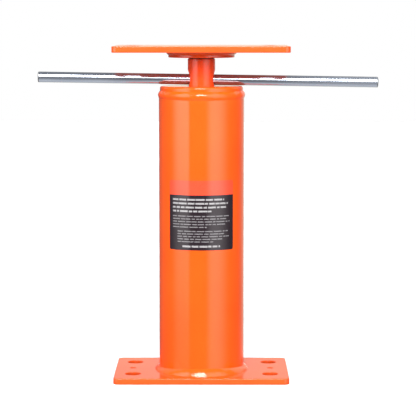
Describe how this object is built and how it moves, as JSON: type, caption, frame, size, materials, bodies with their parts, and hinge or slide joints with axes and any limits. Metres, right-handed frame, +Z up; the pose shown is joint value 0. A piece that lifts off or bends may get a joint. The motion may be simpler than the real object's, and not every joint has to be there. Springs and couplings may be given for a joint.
{
  "type": "screw jack post",
  "caption": "Short steel floor post with a screw-raised swivel head plate, turned by a loose cross bar, on a bolted base plate; props a beam or joist.",
  "frame": {"origin": "middle of the base plate's underside, on the post's axis", "axes": "+Z up along the post, +X along the plates' long side, label faces -Y"},
  "size_m": [0.3026, 0.1, 0.296],
  "materials": {
    "orange_paint": "gloss orange enamel on welded steel",
    "plated_steel": "bright zinc plate with drawn streaks",
    "label_film": "printed film"
  },
  "bodies": {
    "post": {"base_plate": "orange_paint", "post_tube": "orange_paint", "base_weld": "orange_paint", "head_nut": "orange_paint", "nut_weld": "orange_paint", "label": "label_film"},
    "head": {"top_plate": "orange_paint", "swivel_ring": "orange_paint", "ring_weld": "orange_paint"},
    "screw": {"jack_screw": "orange_paint"},
    "bar": {"turning_bar": "plated_steel"}
  },
  "joints": [
    {"name": "lift", "type": "slide", "parent": "post", "child": "head", "axis": [0, 0, 1], "range_m": [0, 0.1]},
    {"name": "screw_turn", "type": "hinge", "parent": "head", "child": "screw", "pos_m": [0, 0, 0.2663], "axis": [0, 0, 1], "range_deg": [0, 7200]},
    {"name": "bar_slide", "type": "slide", "parent": "screw", "child": "bar", "axis": [0.9997, 0.0174, -0.0161], "range_m": [-0.1425, 0.1305]}
  ],
  "couplings": [
    {"joint": "lift", "follows": "screw_turn", "m_per_rad": 0.00079577}
  ]
}
